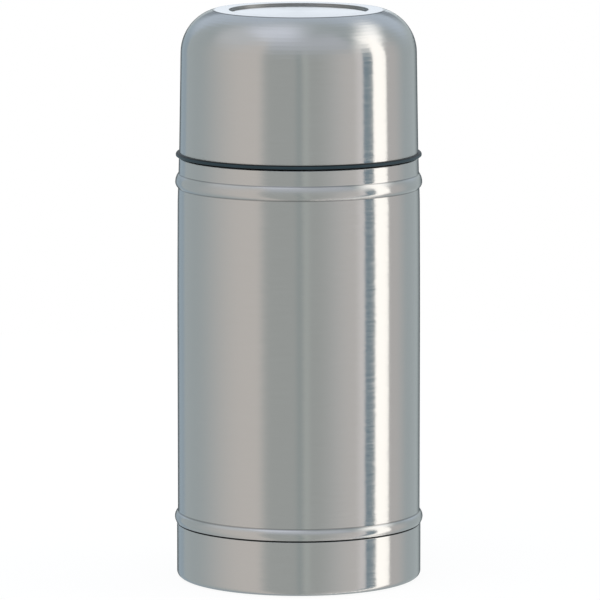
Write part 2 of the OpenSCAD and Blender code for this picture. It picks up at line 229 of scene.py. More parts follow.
# Wall radius at each height, with rolled beads as the soft maximum of wall and circle. A bead
# has one radius above its peak and another below. Beyond the bead its circle is put far away.
# side is 1 for a bead that stands out, and -1 for a ledge that stands in.
def beadedWall(z, wall, beads, softness, side, far=-9):
    r = np.interp(z, [w[0] for w in wall], [w[1] for w in wall])
    for bead in beads:
        size = np.where(z > bead["z"], bead["above"], bead["below"])
        bulge = np.sqrt(np.maximum(size ** 2 - (z - bead["z"]) ** 2, 0))
        circle = bead["peak"] - side * (size - np.where(bulge > 0, bulge, far))
        r = side * softness * np.logaddexp(side * r / softness, side * circle / softness)
    return r


def addPiece(mesh, body, material, nodes=()):
    obj = bpy.data.objects.new(mesh.name, mesh)
    bpy.context.collection.objects.link(obj)
    mesh.materials.append(material)
    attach(obj, body)
    if nodes:
        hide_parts(*nodes)
    return obj


# materials


def newGroup(name, inputs, outputs):
    group = bpy.data.node_groups.new(name, "ShaderNodeTree")
    for label, kind, value in inputs:
        socket = group.interface.new_socket(
            name=label, in_out="INPUT", socket_type="NodeSocket" + kind)
        if value is not None:
            socket.default_value = value
    for label, kind in outputs:
        group.interface.new_socket(name=label, in_out="OUTPUT", socket_type="NodeSocket" + kind)
    return group, group.nodes.new("NodeGroupInput"), group.nodes.new("NodeGroupOutput")


# Sets inputs by value, or by link where the value is a socket. A key is the input's name with
# _ for a space, or i and its number.
def setInputs(tree, node, **inputs):
    for key, value in inputs.items():
        numbered = key[0] == "i" and key[1:].isdigit()
        socket = node.inputs[int(key[1:]) if numbered else key.replace("_", " ")]
        if isinstance(value, bpy.types.NodeSocket):
            tree.links.new(value, socket)
        else:
            socket.default_value = value
    return node


def mathNode(tree, operation, *values):
    node = tree.nodes.new("ShaderNodeMath")
    node.operation = operation
    for k, value in enumerate(values):
        setInputs(tree, node, **{"i%d" % k: value})
    return node.outputs[0]


def vectorNode(tree, operation, *values):
    node = tree.nodes.new("ShaderNodeVectorMath")
    node.operation = operation
    for k, value in enumerate(values):
        if operation == "SCALE" and k == 1:
            setInputs(tree, node, Scale=value)
        else:
            setInputs(tree, node, **{"i%d" % k: value})
    return node.outputs[0]


def noiseNode(tree, vector, detail):
    node = tree.nodes.new("ShaderNodeTexNoise")
    setInputs(tree, node, Vector=vector, Scale=1.0, Detail=detail, Roughness=0.5)
    return node.outputs[0]


# Brushed grain of a piece turned on a lathe. A point is read at (cos a, sin a) times the
# length of a scratch, and at height less radius times the number of lines, so a scratch
# runs round the axis on walls, domes and flat tops alike. The normal sways to and fro along
# the tangent from line to line: n + sway * (noise - 1/2) * t. A layer's shares are of the
# scratch's length and of the number of lines.
grainLayers = {
    "fine": {"lengthShare": 1.0, "lineShare": 1.0, "detail": 2.0},
    "broad": {"lengthShare": 0.4, "lineShare": 0.22, "detail": 1.0},
    "scratch": {"lengthShare": 1.8, "lineShare": 0.45, "detail": 0.0},
    "sway": {"lengthShare": 3.0, "lineShare": 1.0, "detail": 0.0},
}
scratchSharpness = 9.0
axisRadius = 0.0005        # metres: nearer the axis than this, the turn isn't divided out


def makeGrainGroup():
    group, given, out = newGroup(
        "turnedGrain",
        [("Position", "Vector", None), ("Lines", "Float", 1500.0), ("Length", "Float", 4.0),
         ("Seed", "Float", 0.0), ("Sway", "Float", 0.05), ("Normal", "Vector", None),
         ("Tangent", "Vector", None)],
        [("Fine", "Float"), ("Broad", "Float"), ("Scratch", "Float"), ("Radius", "Float"),
         ("Normal", "Vector")],
    )
    pin = given.outputs
    parts = group.nodes.new("ShaderNodeSeparateXYZ")
    setInputs(group, parts, Vector=pin["Position"])
    x, y, z = parts.outputs
    square = mathNode(group, "ADD", mathNode(group, "MULTIPLY", x, x),
                      mathNode(group, "MULTIPLY", y, y))
    radius = mathNode(group, "SQRT", square)
    safe = mathNode(group, "MAXIMUM", radius, axisRadius)
    along = mathNode(group, "SUBTRACT", z, radius)
    turn = group.nodes.new("ShaderNodeCombineXYZ")
    setInputs(group, turn, X=mathNode(group, "DIVIDE", x, safe),
              Y=mathNode(group, "DIVIDE", y, safe))

    def layer(look):
        lines = mathNode(group, "MULTIPLY", pin["Lines"], look["lineShare"])
        line = mathNode(group, "MULTIPLY", along, lines)
        place = group.nodes.new("ShaderNodeCombineXYZ")
        setInputs(group, place, Z=mathNode(group, "ADD", pin["Seed"], line))
        size = mathNode(group, "MULTIPLY", pin["Length"], look["lengthShare"])
        around = vectorNode(group, "SCALE", turn.outputs[0], size)
        return noiseNode(group, vectorNode(group, "ADD", around, place.outputs[0]), look["detail"])

    def centred(noise):
        return mathNode(group, "SUBTRACT", noise, 0.5)

    groove = mathNode(group, "ABSOLUTE", centred(layer(grainLayers["scratch"])))
    groove = mathNode(group, "MULTIPLY", groove, scratchSharpness)
    groove = mathNode(group, "MINIMUM", 1.0, groove)
    swing = mathNode(group, "MULTIPLY", centred(layer(grainLayers["sway"])), pin["Sway"])
    swayed = vectorNode(group, "ADD", pin["Normal"],
                        vectorNode(group, "SCALE", pin["Tangent"], swing))
    found = {
        "Fine": layer(grainLayers["fine"]), "Broad": layer(grainLayers["broad"]),
        "Scratch": mathNode(group, "SUBTRACT", 1.0, groove), "Radius": radius,
        "Normal": vectorNode(group, "NORMALIZE", swayed),
    }
    for label, socket in found.items():
        group.links.new(socket, out.inputs[label])
    return group


# Fine grain of moulded plastic and rubber, with a few flow marks.
def makeMouldGroup():
    group, given, out = newGroup(
        "mouldedGrain",
        [("Position", "Vector", None), ("Grain", "Float", 2500.0), ("Flow", "Float", 60.0)],
        [("Grain", "Float"), ("Flow", "Float")],
    )
    for label, detail in (("Grain", 3.0), ("Flow", 1.0)):
        spot = vectorNode(group, "SCALE", given.outputs["Position"], given.outputs[label])
        group.links.new(noiseNode(group, spot, detail), out.inputs[label])
    return group


grainGroup = makeGrainGroup()
mouldGroup = makeMouldGroup()


def newMaterial(name):
    material = bpy.data.materials.new(name)
    material.use_nodes = True
    tree = material.node_tree
    return material, tree, tree.nodes["Principled BSDF"]


noiseSpan = (0.3, 0.7)     # nearly all of a noise lies between these


def mapNoise(tree, noise, low, high):
    node = tree.nodes.new("ShaderNodeMapRange")
    setInputs(tree, node, Value=noise, i1=noiseSpan[0], i2=noiseSpan[1], i3=low, i4=high)
    return node.outputs[0]


def mixColour(tree, factor, a, b):
    node = tree.nodes.new("ShaderNodeMix")
    node.data_type = "RGBA"
    setInputs(tree, node, i0=factor, i6=a, i7=b)
    return node.outputs[2]


def bump(tree, height, distance, normal=None):
    node = tree.nodes.new("ShaderNodeBump")
    setInputs(tree, node, Height=height, Distance=distance, Strength=1.0)
    if normal is not None:
        setInputs(tree, node, Normal=normal)
    return node.outputs[0]


def position(tree):
    return tree.nodes.new("ShaderNodeTexCoord").outputs["Object"]


def heightOf(tree):
    parts = tree.nodes.new("ShaderNodeSeparateXYZ")
    setInputs(tree, parts, Vector=position(tree))
    return parts.outputs["Z"]


# Brushed stainless steel: the grain runs round the axis, so the gloss is narrow round the
# axis and wide along it. Within the polished radius (in metres) it is smoother, except in a
# corner that the brush can't reach: (inner radius, outer radius, roughness). Below a seam's
# height the colour is painted shade, near black, for the shadow in the gap. Creases at given
# heights (height, half width) get painted shade, and an edge (radius, half width) a painted
# dark line that stands for the edge's dark reflection, both by a share.
brushedSteel = {
    "light": (0.55, 0.55, 0.55, 1), "dark": (0.53, 0.53, 0.53, 1), "smooth": 0.13, "rough": 0.25,
    "stretch": 1.0, "lines": 3800.0, "length": 4.0, "depth": 0.0000014, "sway": 0.03,
}
# near black: the colour of painted shade in the seam's gap and creases, and of the cup edge's
# painted dark line
seamShade = (0.03, 0.032, 0.033, 1)
steelLooks = {
    "steelBase": {**brushedSteel, "seed": 23.0},
    # painted shade: below seamZ the shell is near black for the shadow in the seam's gap
    "steelShell": {
        **brushedSteel, "seed": 3.0, "seamZ": 0.023, "seam": seamShade, "shadow": 0.4,
        # painted shade lines at the beads' creases: (height, half width)
        "creases": ((0.0276, 0.0003), (0.16775, 0.00022), (0.1619, 0.00018))},
    # steelCup: a painted dark line at the ring's edge stands for the edge's dark reflection
    "steelCup": {
        **brushedSteel, "seed": 41.0, "sway": 0.02, "polished": 0.0349, "polish": 0.35,
        "corner": (0.0280, 0.0287, 0.65), "edge": (0.0350, 0.0006), "seam": seamShade,
        "shadow": 0.7},
    "steelInner": {
        "light": (0.55, 0.56, 0.56, 1), "dark": (0.47, 0.48, 0.49, 1), "smooth": 0.22,
        "rough": 0.32, "stretch": 0.7, "lines": 900.0, "length": 3.0, "seed": 9.0,
        "depth": 0.000003, "sway": 0.03},
    "springWire": {
        "light": (0.6, 0.61, 0.62, 1), "dark": (0.45, 0.46, 0.47, 1), "smooth": 0.2,
        "rough": 0.35, "stretch": 0.3, "lines": 3000.0, "length": 9.0, "seed": 2.0,
        "depth": 0.000002, "sway": 0.0},
}
grainRelief = {"broad": 1.6, "scratch": 0.4}     # beside the fine grain's 1


def makeSteel(name, look):
    material, tree, shader = newMaterial(name)
    grain = tree.nodes.new("ShaderNodeGroup")
    grain.node_tree = grainGroup
    tangent = tree.nodes.new("ShaderNodeTangent")
    tangent.direction_type = "RADIAL"
    tangent.axis = "Z"
    setInputs(tree, grain, Position=position(tree), Lines=look["lines"],
              Length=look["length"], Seed=look["seed"], Sway=look["sway"],
              Normal=tree.nodes.new("ShaderNodeNewGeometry").outputs["Normal"],
              Tangent=tangent.outputs[0])
    fine, radius = grain.outputs["Fine"], grain.outputs["Radius"]

    def both(a, b):
        return mathNode(tree, "MULTIPLY", a, b)

    # mixes in painted shade by the look's share wherever the mask is set
    def shadowed(colour, where):
        return mixColour(tree, both(where, look["shadow"]), colour, look["seam"])

    colour = mixColour(tree, mapNoise(tree, fine, 0.0, 1.0), look["dark"], look["light"])
    gloss = mapNoise(tree, fine, look["smooth"], look["rough"])
    # painted shade: below the seam's height the colour turns near black, for the shadow in the gap
    if "seamZ" in look:
        z = heightOf(tree)
        below = mathNode(tree, "LESS_THAN", z, look["seamZ"])
        colour = mixColour(tree, below, colour, look["seam"])
        # each crease gets a thin line of painted shade
        for height, reach in look["creases"]:
            colour = shadowed(colour, mathNode(tree, "COMPARE", z, height, reach))
    if "polished" in look:
        # painted reflection: a dark line round the ring's edge stands for the edge's dark
        # reflection
        colour = shadowed(colour, mathNode(tree, "COMPARE", radius, *look["edge"]))
        within = both(mathNode(tree, "LESS_THAN", radius, look["polished"]), 1.0 - look["polish"])
        gloss = both(gloss, mathNode(tree, "SUBTRACT", 1.0, within))
        start, stop, dull = look["corner"]
        corner = both(mathNode(tree, "GREATER_THAN", radius, start),
                      mathNode(tree, "LESS_THAN", radius, stop))
        gloss = mathNode(tree, "MAXIMUM", gloss, both(corner, dull))
    setInputs(tree, shader, Base_Color=colour, Roughness=gloss)
    height = mathNode(tree, "ADD", fine, both(grain.outputs["Broad"], grainRelief["broad"]))
    height = mathNode(tree, "SUBTRACT", height,
                      both(grain.outputs["Scratch"], grainRelief["scratch"]))
    relief = bump(tree, height, look["depth"], grain.outputs["Normal"])
    setInputs(tree, shader, Normal=relief)
    shader.inputs["Metallic"].default_value = 1.0
    shader.inputs["Anisotropic"].default_value = look["stretch"]
    shader.inputs["Anisotropic Rotation"].default_value = 0.25     # a quarter turn
    tree.links.new(tangent.outputs[0], shader.inputs["Tangent"])
    return material


# Plastics, rubber, foam and solder: a base colour that drifts a little, a grain and a gloss.
# A band (height, half width) keeps the colour. Above and below it, the colour is the edge's
# colour, a painted shade that stands for the shadow at the lip's top and bottom edges.
plainLooks = {
    "lipPlastic": {
        "light": (0.016, 0.028, 0.034, 1), "dark": (0.008, 0.015, 0.019, 1), "smooth": 0.32,
        "rough": 0.42, "grain": 2200.0, "depth": 0.000008, "specular": 0.3},
    "lipBand": {
        "light": (0.036, 0.062, 0.078, 1), "dark": (0.028, 0.050, 0.062, 1), "smooth": 0.32,
        "rough": 0.42, "grain": 2200.0, "depth": 0.000008, "specular": 0.15,
        # outside this band the lip takes the edge colour, painted shade for its edges
        "unshadedBand": (0.17545, 0.0006), "edge": (0.004, 0.007, 0.009, 1)},
    "gripPlastic": {
        "light": (0.040, 0.045, 0.048, 1), "dark": (0.026, 0.030, 0.033, 1), "smooth": 0.45,
        "rough": 0.60, "grain": 2600.0, "depth": 0.00003, "specular": 0.5},
    "buttonPlastic": {
        "light": (0.20, 0.22, 0.23, 1), "dark": (0.16, 0.18, 0.19, 1), "smooth": 0.35,
        "rough": 0.50, "grain": 2600.0, "depth": 0.000015, "specular": 0.5},
    "siliconeRubber": {
        "light": (0.52, 0.53, 0.52, 1), "dark": (0.44, 0.45, 0.44, 1), "smooth": 0.42,
        "rough": 0.58, "grain": 1800.0, "depth": 0.00001, "specular": 0.4},
    "rigidFoam": {
        "light": (0.80, 0.75, 0.58, 1), "dark": (0.66, 0.60, 0.43, 1), "smooth": 0.8,
        "rough": 0.95, "grain": 1400.0, "depth": 0.0002, "specular": 0.2},
    "softSolder": {
        "light": (0.42, 0.41, 0.39, 1), "dark": (0.26, 0.25, 0.23, 1), "smooth": 0.4,
        "rough": 0.6, "grain": 900.0, "depth": 0.00004, "specular": 0.5, "metallic": 1.0},
}


def makePlain(name, look):
    material, tree, shader = newMaterial(name)
    mould = tree.nodes.new("ShaderNodeGroup")
    mould.node_tree = mouldGroup
    setInputs(tree, mould, Position=position(tree), Grain=look["grain"])
    grain, flow = mould.outputs["Grain"], mould.outputs["Flow"]
    colour = mixColour(tree, mapNoise(tree, flow, 0.0, 1.0), look["dark"], look["light"])
    if "unshadedBand" in look:
        # painted shade: outside the band the lip takes the dark edge colour
        unshadedBandMask = mathNode(tree, "COMPARE", heightOf(tree), *look["unshadedBand"])
        colour = mixColour(tree, unshadedBandMask, look["edge"], colour)
    setInputs(tree, shader, Base_Color=colour,
              Roughness=mapNoise(tree, grain, look["smooth"], look["rough"]),
              Normal=bump(tree, grain, look["depth"]))
    shader.inputs["Metallic"].default_value = look.get("metallic", 0.0)
    shader.inputs["Specular IOR Level"].default_value = look["specular"]
    return material


steels = {name: makeSteel(name, look) for name, look in steelLooks.items()}
plains = {name: makePlain(name, look) for name, look in plainLooks.items()}
print("materials ready")

# the jar's body

jar = {
    "bodyRadius": 50.0, "beltRadius": 49.78, "collarRadius": 49.2, "tailRadius": 49.75,
    "neckRadius": 43.9, "sheet": 0.6, "tailZ": 4.4, "seamZ": 23.0, "shoulderZ": 174.5,
    "shoulderEdge": 0.75, "neckEdge": 0.7, "neckTopZ": 187.25,
    "evenZ": 118.0, "taperZ": 156.3, "beadOut": 1.25, "beadSoftness": 0.05,
    "lowerBead": {"z": 24.95, "above": 3.3, "below": 3.125},
    "upperBead": {"z": 164.1, "above": 6.1, "below": 2.56},
}


# Rows stand close together on the beads and far apart between them. The tail under the seam
# slips inside the base cap.
def outerShellPath(j):
    edge = j["shoulderZ"] - j["shoulderEdge"]
    wall = [(j["evenZ"], j["bodyRadius"]), (j["taperZ"], j["beltRadius"]),
            (edge, j["collarRadius"])]
    middle = (j["beltRadius"] + j["collarRadius"]) / 2
    lower, upper = j["lowerBead"], j["upperBead"]
    beads = [{**lower, "peak": j["bodyRadius"] + j["beadOut"]},
             {**upper, "peak": middle + j["beadOut"]}]
    spans = [                                        # from, to, rows
        (j["seamZ"] + 0.4, lower["z"] + 4, 40),
        (lower["z"] + 6, j["taperZ"] - 1, 9),
        (j["taperZ"] + 1, upper["z"] - 3.5, 5),
        (upper["z"] - 3, upper["z"] + 4.6, 60),
    ]
    z = np.concatenate([np.linspace(*span) for span in spans])
    r = beadedWall(z, wall, beads, j["beadSoftness"], 1)
    tail, tailHard = roundedPath([
        (j["tailRadius"], j["tailZ"], 0), (j["tailRadius"], j["seamZ"], 0.1),
        (r[0] - 0.15, j["seamZ"], 0.2), (r[0], j["seamZ"] + 0.35, 0)], False)
    top, topHard = roundedPath([
        (np.interp(upper["z"] + 5, *zip(*wall)), upper["z"] + 5, 0),
        (j["collarRadius"], j["shoulderZ"], j["shoulderEdge"]),
        (j["neckRadius"], j["shoulderZ"], j["neckEdge"]),
        (j["neckRadius"], j["neckTopZ"], 0)], False)
    path = np.concatenate([tail, np.stack([r, z], -1), top])
    return path, np.concatenate([tailHard, np.zeros(len(z), bool), topHard])


# A sheet turned round Z. Where one end of its path lies on the axis, the two faces join at
# the other end and each closes in a pole, and otherwise they join at both ends.
def sheetMesh(name, path, hard, t):
    inner, ends = sheetPath(path, hard, t)
    if path[-1, 0] < 1e-6:
        whole = np.concatenate([inner[::-1], path])
        flags = np.concatenate([ends[::-1], ends])
    else:
        whole = np.concatenate([path, inner[::-1]])
        flags = np.concatenate([ends, ends[::-1]])
    return lathe(name, whole, flags)


path, hard = outerShellPath(jar)
addPiece(sheetMesh("outerShell", path, hard, jar["sheet"]),
         "jar", steels["steelShell"], ["outer_shell"])

base = {"radius": 50.4, "edge": 2.4, "topZ": 22.35, "lip": 0.2, "ringInner": 38.0, "recess": 1.5,
        "recessEdge": 1.0, "sheet": 0.6}


def baseCapMesh(b):
    path, hard = roundedPath([
        (0, b["recess"], 0), (b["ringInner"] - b["recess"], b["recess"], b["recessEdge"]),
        (b["ringInner"], 0, b["recessEdge"]), (b["radius"], 0, b["edge"]),
        (b["radius"], b["topZ"], b["lip"]), (b["radius"] - b["lip"], b["topZ"], 0)], False)
    return sheetMesh("baseCap", path, hard, b["sheet"])


addPiece(baseCapMesh(base), "jar", steels["steelBase"], ["base_cap"])

vessel = {"radius": 42.5, "mouth": 41.2, "floorZ": 14.5, "edge": 13.0, "sheet": 0.5,
          "ledgeX": 43.2, "ledgeZ": 157.7, "ledgeRadius": 4.0, "rimZ": 188.7, "rimOut": 0.4,
          "rimWidth": 2.7, "rimHeight": 1.4, "rimEdge": 0.6, "softness": 0.05}


# The vessel's wall from floor to rim at one face of the sheet, grown outwards by t.
def vesselWall(v, t):
    ledgeZ = v["ledgeZ"]
    z = np.concatenate([
        np.linspace(ledgeZ - 12, ledgeZ - 4.2, 4), np.linspace(ledgeZ - 4, ledgeZ + 4, 40),
        [ledgeZ + 5, v["rimZ"] - v["rimHeight"] - 1]])
    wall = [(ledgeZ - 0.5, v["radius"] + t), (ledgeZ + 0.5, v["mouth"] + t)]
    size = v["ledgeRadius"] - t
    ledge = [{"peak": v["ledgeX"] - size, "z": ledgeZ, "above": size, "below": size}]
    return np.stack([beadedWall(z, wall, ledge, v["softness"], -1), z], -1)


def innerVesselMesh(v):
    t = v["sheet"]
    rim = v["mouth"] + v["rimWidth"] + v["rimOut"]
    under = v["rimZ"] - v["rimHeight"]
    foot, footHard = roundedPath([
        (0, v["floorZ"] - t, 0), (v["radius"] + t, v["floorZ"] - t, v["edge"] + t),
        (v["radius"] + t, v["ledgeZ"] - 20, 0)], False)
    top, topHard = roundedPath([
        (v["mouth"] + t, under - 0.5, 0), (v["mouth"] + t, under, 0), (rim, under, 0.2),
        (rim, v["rimZ"], v["rimEdge"]), (v["mouth"], v["rimZ"], v["rimEdge"]),
        (v["mouth"], v["rimZ"] - 2, 0)], False)
    floor, floorHard = roundedPath([
        (v["radius"], v["ledgeZ"] - 20, 0), (v["radius"], v["floorZ"], v["edge"]),
        (0, v["floorZ"], 0)], False)
    outside, inside = vesselWall(v, t), vesselWall(v, 0)[::-1]
    smooth = np.zeros(len(outside), bool)
    path = np.concatenate([foot, outside, top, inside, floor])
    flags = np.concatenate([footHard, smooth, topHard, smooth, floorHard])
    return lathe("innerVessel", path, flags)


addPiece(innerVesselMesh(vessel), "jar", steels["steelInner"],
         ["inner_vessel"])
print("body ready")

# turned pieces: body, node, material, slot and corners (radius, height, fillet) in mm

turned = {
    "threadCollar": ("jar", "thread_collar", "lipPlastic", "plastic_black", [
        (43.95, 174.55, 0.1), (45.75, 174.55, 0.3), (45.75, 187.2, 0.4), (43.95, 187.2, 0.1)]),
    "rimGasket": ("stopper_gasket", "rim_gasket", "siliconeRubber", "silicone", [
        (40.2, 188.75, 0.3), (43.5, 188.75, 0.3), (43.5, 189.95, 0.3), (40.2, 189.95, 0.3)]),
    "plugSeal": ("stopper_ring", "plug_seal", "siliconeRubber", "silicone", [
        (37.8, 161.24, 0.2), (41.0, 161.24, 0.4), (41.0, 162.24, 0.4), (39.4, 162.24, 0.3),
        (39.4, 163.84, 0.3), (41.0, 163.84, 0.4), (41.0, 164.84, 0.4), (37.8, 164.84, 0.2)]),
    "stopperPlug": ("stopper", "stopper_body", "lipPlastic", "plastic_black", [
        (3.2, 159.64, 0.3), (38.8, 159.64, 0.6), (38.8, 161.04, 0.3), (37.6, 161.04, 0.2),
        (37.6, 165.04, 0.2), (40.0, 165.04, 0.4), (40.0, 190.1, 0.2), (43.7, 190.1, 0.4),
        (43.7, 192.1, 0.5), (40.55, 192.1, 0.1), (40.55, 196.1, 0.3), (38.95, 196.1, 0.3),
        (38.95, 192.1, 0.1), (38.2, 192.1, 0.2), (38.2, 166.84, 0.4), (35.8, 166.84, 0.4),
        (35.8, 161.44, 0.8), (4.8, 161.44, 0.5), (4.8, 184.15, 0.5), (9.35, 184.15, 0.4),
        (9.35, 197.15, 0.3), (7.95, 197.15, 0.3), (7.95, 186.15, 0.4), (3.2, 186.15, 0.3)]),
    "ventButton": ("vent", "vent_button", "buttonPlastic", "plastic_grey", [
        (0, 202.8, 0), (2.55, 202.8, 0.1), (2.55, 190.15, 0.1), (4.2, 190.15, 0.2),
        (4.2, 204.75, 0.4), (9.9, 204.75, 0.4), (9.9, 199.65, 0.2), (11.2, 199.65, 0.2),
        (11.2, 206.75, 0.7), (9.4, 206.75, 0.8), (8.0, 206.3, 2.0), (0, 206.1, 0)]),
    "ventStem": ("vent", "vent_stem", "buttonPlastic", "plastic_grey", [
        (0, 156.54, 0), (7.6, 156.54, 0.4), (7.6, 158.04, 0.3), (2.5, 158.04, 0.3),
        (2.5, 202.75, 0.4), (0, 202.75, 0)]),
    "ventDisc": ("vent", "vent_disc", "siliconeRubber", "silicone", [
        (2.55, 158.09, 0.1), (7.2, 158.09, 0.4), (7.2, 159.59, 0.3), (2.55, 159.59, 0.1)]),
    "cupGasket": ("cup_ring", "cup_gasket", "siliconeRubber", "silicone", [
        (44.5, 187.3, 0.4), (46.95, 187.3, 0.4), (46.95, 188.7, 0.4), (44.5, 188.7, 0.4)]),
    "cupLiner": ("cup", "cup_liner", "lipBand", "plastic_black", [
        (0, 226.3, 0), (45.35, 226.3, 15.0), (45.35, 188.9, 0.4), (47.15, 188.9, 0.3),
        (47.15, 174.6, 0.4),
        (50.5, 174.95, 0.4), (50.5, 176.4, 0.8), (48.61, 176.4, 0.1), (48.31, 190.9, 0.4),
        (46.85, 190.9, 0.6), (46.85, 227.8, 16.5), (0, 227.8, 0)]),
}


# A profile that starts off the axis is a closed ring.
def turnedMesh(name, corners):
    path, hard = roundedPath(corners, corners[0][0] > 0)
    return lathe(name, path, hard)


for name, (body, node, material, slot, corners) in turned.items():
    addPiece(turnedMesh(name, corners), body, plains[material], [node])

grip = {"radius": 42.4, "wall": 1.8, "lowZ": 192.15, "topZ": 205.95, "edge": 2.5, "top": 2.0,
        "guide": 11.4, "guideWall": 1.6, "guideLowZ": 196.95, "dish": 0.3, "segments": 720,
        "cut": {"count": 36, "radius": 42.4, "grooveRadius": 1.5, "depth": 0.7,
                "softness": 0.06, "clear": 5}}


def gripMesh(g):
    inner = g["radius"] - g["wall"]
    tube = g["guide"] + g["guideWall"]
    ceiling = g["topZ"] - g["top"]
    corners = [
        (g["guide"], g["guideLowZ"], 0.2), (tube, g["guideLowZ"], 0.2), (tube, ceiling, 0.5),
        (inner, ceiling, 1.5), (inner, g["lowZ"], 0.2), (g["radius"], g["lowZ"], 0.3),
        (g["radius"], g["topZ"], g["edge"]), (g["guide"] + 3, g["topZ"], 1.0),
        (g["guide"] + 2.4, g["topZ"] - g["dish"], 1.0), (g["guide"], g["topZ"] - g["dish"], 0.3)]
    path, hard = roundedPath(corners, True)
    return lathe("stopperGrip", path, hard, g["segments"], g["cut"])


addPiece(gripMesh(grip), "stopper", plains["gripPlastic"], ["stopper_grip"])
print("stopper ready")

# the cup

cup = {"lipZ": 176.45, "radius": 49.1, "domeWall": 48.2, "domeZ": 217.25, "domeRadius": 18.5,
       "topZ": 235.0, "recessRadius": 28.4, "recess": 0.85, "sheet": 0.6, "rimFillet": 0.2,
       "edgeFillet": 0.6}


# The dome is one arc: it starts upright on the wall and is cut off by the flat top. Its
# fillet is a little under the dome's radius, so that it ends before the top's edge.
def cupMesh(c):
    share = math.asin((c["topZ"] - c["domeZ"]) / c["domeRadius"])
    reach = c["domeRadius"] * math.tan(share / 2)
    edge = c["domeWall"] - c["domeRadius"] + c["domeRadius"] * math.cos(share)
    path, hard = roundedPath([
        (c["radius"], c["lipZ"], 0), (c["domeWall"], c["domeZ"] + reach, c["domeRadius"] - 0.25),
        (edge, c["topZ"], c["edgeFillet"]), (c["recessRadius"], c["topZ"], c["rimFillet"]),
        (c["recessRadius"], c["topZ"] - c["recess"], c["rimFillet"]),
        (0, c["topZ"] - c["recess"], 0)], False)
    return sheetMesh("cupShell", path, hard, c["sheet"])


addPiece(cupMesh(cup), "cup", steels["steelCup"], ["cup_shell"])
print("cup ready")

# threads and spring

# side is 1 for a ridge that stands out of a wall and -1 for one that stands into a mouth
threads = {
    "collarThread": {
        "body": "jar", "slot": "plastic_black", "material": "lipPlastic", "radius": 45.75,
        "side": 1, "height": 0.9, "width": 1.7, "lowZ": 179.5, "lead": 4.0, "turns": 1.0,
        "start": 200},
    "linerThread": {
        "body": "cup", "slot": "plastic_black", "material": "lipPlastic", "radius": 47.15,
        "side": -1, "height": 0.8, "width": 1.5, "lowZ": 177.5, "lead": 4.0, "turns": 1.0,
        "start": 200},
    "neckThread": {
        "body": "jar", "slot": "steel_inner", "material": "steelInner", "radius": 41.2,
        "side": -1, "height": 0.75, "width": 2.0, "lowZ": 173.1, "lead": 5.0, "turns": 1.25,
        "start": 30},
    "plugThread": {
        "body": "stopper", "slot": "plastic_black", "material": "lipPlastic", "radius": 40.0,
        "side": 1, "height": 0.8, "width": 1.8, "lowZ": 170.6, "lead": 5.0, "turns": 1.25,
        "start": 30},
}
ridge = {"sink": 0.15, "runOut": 0.12, "roundness": 0.6, "rowsPerTurn": 150, "sides": 14}


# A ridge along a right-handed helix: z rises by the lead in each turn. Across the ridge the
# section is a rounded bump, sunk a little into the wall, and it runs out at both ends.
def ridgeMesh(name, t):
    u = np.linspace(0, t["turns"], round(ridge["rowsPerTurn"] * t["turns"]))[:, None]
    v = np.linspace(0, 2 * math.pi, ridge["sides"], endpoint=False)[None]
    size = np.sqrt(np.clip(np.minimum(u, t["turns"] - u) / ridge["runOut"], 0, 1))
    crest = np.maximum(np.sin(v), 0) ** ridge["roundness"] * t["height"] * size
    root = ridge["sink"] * (np.sin(v) < -0.1)
    r = t["radius"] + t["side"] * (crest - root - ridge["sink"] * (1 - size))
    a = math.radians(t["start"]) + 2 * math.pi * u
    z = t["lowZ"] + t["lead"] * u + np.cos(v) * t["width"] / 2 * size
    return gridMesh(name, np.stack([r * np.cos(a), r * np.sin(a), z], -1) * mm, True)


for name, row in threads.items():
    skin = steels.get(row["material"]) or plains[row["material"]]
    addPiece(ridgeMesh(name, row), row["body"], skin)

spring = {"radius": 6.4, "wire": 0.45, "turns": 6.0, "lowZ": 186.65, "topZ": 204.1,
          "flatShare": 0.12, "tipShare": 0.004, "rows": 420, "sides": 12, "travel": 3.0}


# The wire follows a helix whose pitch closes up in the end turns, as on a ground spring.
def springMesh(s):
    u = np.linspace(0, 1, s["rows"])[:, None]
    v = np.linspace(0, 2 * math.pi, s["sides"], endpoint=False)[None]
    f = s["flatShare"]
    rise = np.clip((u - f / 2) / (1 - f), 0, 1)
    size = np.sqrt(np.clip(np.minimum(u, 1 - u) / s["tipShare"], 0, 1))
    a = 2 * math.pi * s["turns"] * u
    r = s["radius"] + s["wire"] * np.cos(v) * size
    z = s["lowZ"] + (s["topZ"] - s["lowZ"]) * rise + s["wire"] * np.sin(v) * size
    points = np.stack([r * np.cos(a), r * np.sin(a), z], -1) * mm
    return gridMesh("ventSpring", points, True)


coil = addPiece(springMesh(spring), "stopper", steels["springWire"],
                ["vent_spring"])
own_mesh(coil)
print("threads and spring ready")

# CAD pieces that stay

kept = {
    "bottom_plate": steels["steelInner"], "pump_out_seal": plains["softSolder"],
    "getter": plains["softSolder"], "stopper_foam": plains["rigidFoam"],
    "cup_foam": plains["rigidFoam"],
}
for node, material in kept.items():
    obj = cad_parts[node]
    for slot in obj.material_slots:
        slot.material = material
print("inner pieces ready")

# floor

# metres. To the camera, a share of the floor (seen) glows and the rest is pale paint, so its
# edge is lost in the white backdrop and the shadow stays.
floor = {"radius": 0.7, "z": -0.0002, "sides": 96, "colour": (0.8, 0.8, 0.8, 1), "seen": 0.85,
         "glow": 1.062}


